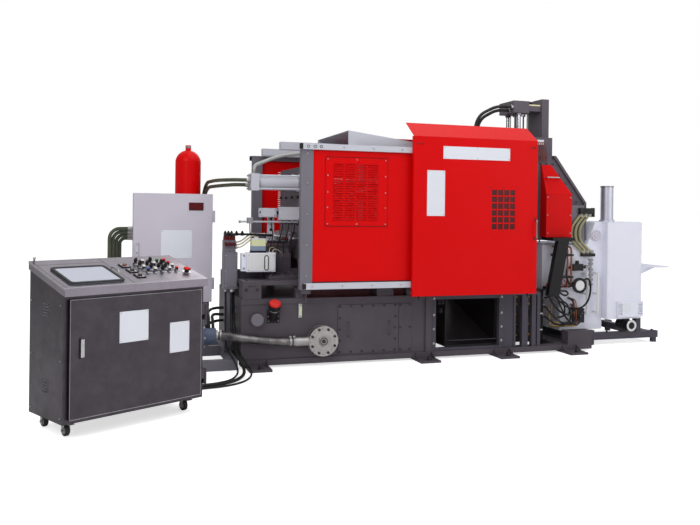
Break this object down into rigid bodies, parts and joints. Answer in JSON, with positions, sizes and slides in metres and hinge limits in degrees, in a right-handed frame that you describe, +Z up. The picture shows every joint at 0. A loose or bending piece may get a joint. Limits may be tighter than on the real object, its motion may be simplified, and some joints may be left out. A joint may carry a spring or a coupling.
{
  "type": "hot chamber die casting machine",
  "caption": "Hot chamber die casting machine with sliding guard doors, toggle clamp, furnace, electrical cabinet and a wheeled operator console.",
  "frame": {"origin": "on the floor under the sole plate at the fixed platen, on the machine's centreline", "axes": "+X along the machine from the clamp end to the furnace, +Y away from the operator, +Z up"},
  "size_m": [6.2541, 3.3838, 2.52],
  "materials": {
    "base_paint": "warm dark grey machine enamel, satin",
    "casting_paint": "warm grey enamel on castings, satin",
    "frame_grey": "mid grey enamel, satin",
    "light_grey": "light grey enamel, satin",
    "guard_red": "glossy red enamel",
    "ground_chrome": "ground and hard chromed",
    "machined_steel": "machined, oiled",
    "black_finish": "black enamel, satin",
    "bay_grey": "blue grey enamel, satin",
    "furnace_white": "white grey enamel, satin",
    "cabinet_grey": "light grey powder coat",
    "pump_blue": "blue grey enamel",
    "hose_metal": "ribbed hose with a metal braid",
    "console_steel": "dark brushed stainless",
    "screen_glass": "screen in a dark bezel",
    "hose_rubber": "dark green hydraulic hose rubber",
    "cable_black": "black cable sheath",
    "caster_zinc": "zinc plated",
    "wheel_rubber": "black rubber tread"
  },
  "bodies": {
    "machine": {"base_tank": "base_paint", "base_beams": "base_paint", "tank_fittings": "base_paint", "breather": "black_finish", "strainer": "machined_steel", "slideway": "base_paint", "rear_platen": "casting_paint", "moving_platen": "casting_paint", "fixed_platen": "casting_paint", "tie_bars": "ground_chrome", "toggle_links": "machined_steel", "clamp_tail": "base_paint", "clamp_cylinder": "light_grey", "switch_rail": "light_grey", "guard_frames": "frame_grey", "guard_panels": "guard_red", "guard_rails": "light_grey", "guard_arms": "base_paint", "roof_beams": "light_grey", "roof_cover": "light_grey", "bay_frame": "bay_grey", "casting_chute": "black_finish", "platen_pedestal": "black_finish", "water_manifold": "bay_grey", "injection_cheeks": "casting_paint", "injection_head": "casting_paint", "shot_cylinder": "ground_chrome", "nozzle_guard": "guard_red", "furnace_brace": "frame_grey", "furnace_body": "furnace_white", "chimney": "furnace_white", "furnace_skid": "bay_grey", "burner_blower": "black_finish", "ingot_shelf": "furnace_white", "cabinet_body": "cabinet_grey", "pump_stand": "frame_grey", "pump_motor": "pump_blue", "accumulator": "guard_red", "junction_box": "frame_grey", "lubricator": "furnace_white", "suction_hose": "hose_metal", "console_body": "console_steel", "console_lid": "console_steel", "console_screen": "screen_glass", "console_buttons": "black_finish", "console_cable": "cable_black", "hydraulic_hoses": "hose_rubber", "injection_hoses": "hose_rubber"},
    "front_door": {"front_door": "guard_red"},
    "rear_door": {"rear_door": "guard_red"},
    "cabinet_door": {"cabinet_door": "cabinet_grey"},
    "console_door": {"console_door": "console_steel"},
    "caster_fork_1": {"caster_fork_1": "caster_zinc"},
    "caster_wheel_1": {"caster_wheel_1": "wheel_rubber"},
    "caster_fork_2": {"caster_fork_2": "caster_zinc"},
    "caster_wheel_2": {"caster_wheel_2": "wheel_rubber"},
    "caster_fork_3": {"caster_fork_3": "caster_zinc"},
    "caster_wheel_3": {"caster_wheel_3": "wheel_rubber"},
    "caster_fork_4": {"caster_fork_4": "caster_zinc"},
    "caster_wheel_4": {"caster_wheel_4": "wheel_rubber"}
  },
  "joints": [
    {"name": "front_door_slide", "type": "slide", "parent": "machine", "child": "front_door", "axis": [-1, 0, 0], "range_m": [0, 0.95]},
    {"name": "rear_door_slide", "type": "slide", "parent": "machine", "child": "rear_door", "axis": [-1, 0, 0], "range_m": [0, 0.95]},
    {"name": "cabinet_door_hinge", "type": "hinge", "parent": "machine", "child": "cabinet_door", "pos_m": [-2.598, -0.066, 0.99], "axis": [0, 0, 1], "range_deg": [0, 90]},
    {"name": "console_door_hinge", "type": "hinge", "parent": "machine", "child": "console_door", "pos_m": [-2.89059, -1.91193, 0.47], "axis": [0, 0, 1], "range_deg": [0, 110]},
    {"name": "caster_swivel_1", "type": "hinge", "parent": "machine", "child": "caster_fork_1", "pos_m": [-3.72721, -2.26934, 0.085], "axis": [0, 0, 1], "continuous": true},
    {"name": "wheel_spin_1", "type": "hinge", "parent": "caster_fork_1", "child": "caster_wheel_1", "pos_m": [-3.74078, -2.24485, 0.034], "axis": [0.8746, 0.4848, 0], "continuous": true},
    {"name": "caster_swivel_2", "type": "hinge", "parent": "machine", "child": "caster_fork_2", "pos_m": [-3.86198, -2.0262, 0.085], "axis": [0, 0, 1], "continuous": true},
    {"name": "wheel_spin_2", "type": "hinge", "parent": "caster_fork_2", "child": "caster_wheel_2", "pos_m": [-3.87556, -2.00171, 0.034], "axis": [0.8746, 0.4848, 0], "continuous": true},
    {"name": "caster_swivel_3", "type": "hinge", "parent": "machine", "child": "caster_fork_3", "pos_m": [-3.01002, -1.8718, 0.085], "axis": [0, 0, 1], "continuous": true},
    {"name": "wheel_spin_3", "type": "hinge", "parent": "caster_fork_3", "child": "caster_wheel_3", "pos_m": [-3.02359, -1.84731, 0.034], "axis": [0.8746, 0.4848, 0], "continuous": true},
    {"name": "caster_swivel_4", "type": "hinge", "parent": "machine", "child": "caster_fork_4", "pos_m": [-3.14479, -1.62866, 0.085], "axis": [0, 0, 1], "continuous": true},
    {"name": "wheel_spin_4", "type": "hinge", "parent": "caster_fork_4", "child": "caster_wheel_4", "pos_m": [-3.15837, -1.60417, 0.034], "axis": [0.8746, 0.4848, 0], "continuous": true}
  ]
}
